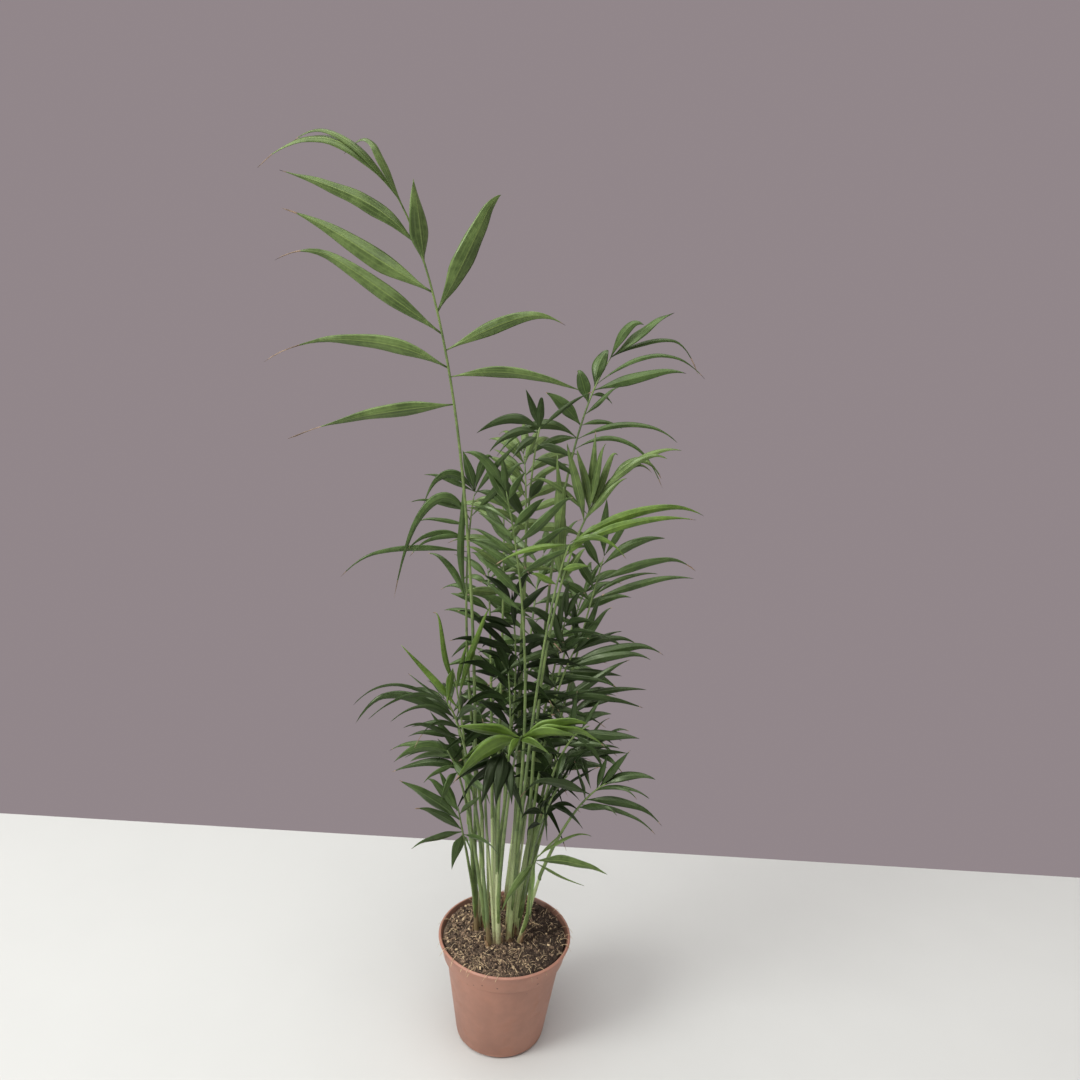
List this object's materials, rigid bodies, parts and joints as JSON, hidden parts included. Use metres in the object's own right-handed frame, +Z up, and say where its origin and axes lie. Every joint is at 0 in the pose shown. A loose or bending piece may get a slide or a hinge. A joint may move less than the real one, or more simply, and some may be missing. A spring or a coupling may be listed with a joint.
{
  "type": "potted parlour palm",
  "caption": "Clump of young parlour palm canes with arching feather fronds, growing in soil in a small round nursery pot that stands on its flat underside.",
  "frame": {"origin": "centre of the pot's flat underside", "axes": "+Z up along the pot's axis, -Y to the front, +X to the right seen from the front, where the tall frond leans to -X"},
  "size_m": [0.346, 0.2685, 0.7777],
  "materials": {
    "pot": "matte",
    "soil": "matte",
    "cane": "satin",
    "frond_green": "satin",
    "frond_deep": "satin",
    "frond_bright": "satin"
  },
  "bodies": {
    "root": {"pot": "pot", "soil": "soil", "cane_a": "cane", "cane_b": "cane", "cane_c": "cane", "cane_d": "cane", "cane_e": "cane", "cane_f": "cane", "cane_g": "cane", "cane_h": "cane", "cane_i": "cane", "cane_j": "cane", "cane_k": "cane", "cane_l": "cane", "cane_m": "cane", "cane_n": "cane", "frond_tall": "frond_green", "frond_bright_front": "frond_bright", "frond_left_arch": "frond_deep", "frond_left_upper": "frond_green", "frond_right_top": "frond_green", "frond_bright_right": "frond_bright", "frond_herring": "frond_green", "frond_low_right": "frond_deep", "frond_lowest": "frond_deep", "frond_low_left": "frond_deep", "frond_left_mid": "frond_deep", "frond_left_light": "frond_bright", "frond_centre_dark": "frond_deep", "frond_fan_low": "frond_deep", "frond_fan_high": "frond_deep", "frond_right_mid": "frond_green", "frond_high_right": "frond_green", "frond_centre_back": "frond_deep", "frond_low_right_back": "frond_deep", "frond_fan_base": "frond_deep", "frond_core_right": "frond_green", "frond_inner": "frond_deep", "frond_core": "frond_deep", "frond_back_low_left": "frond_deep", "frond_back_low": "frond_deep", "frond_back_low_right": "frond_deep", "frond_back_mid_left": "frond_green", "frond_back_mid": "frond_green", "frond_back_mid_right": "frond_green", "frond_back_high": "frond_green", "frond_back_high_left": "frond_green"}
  },
  "joints": []
}
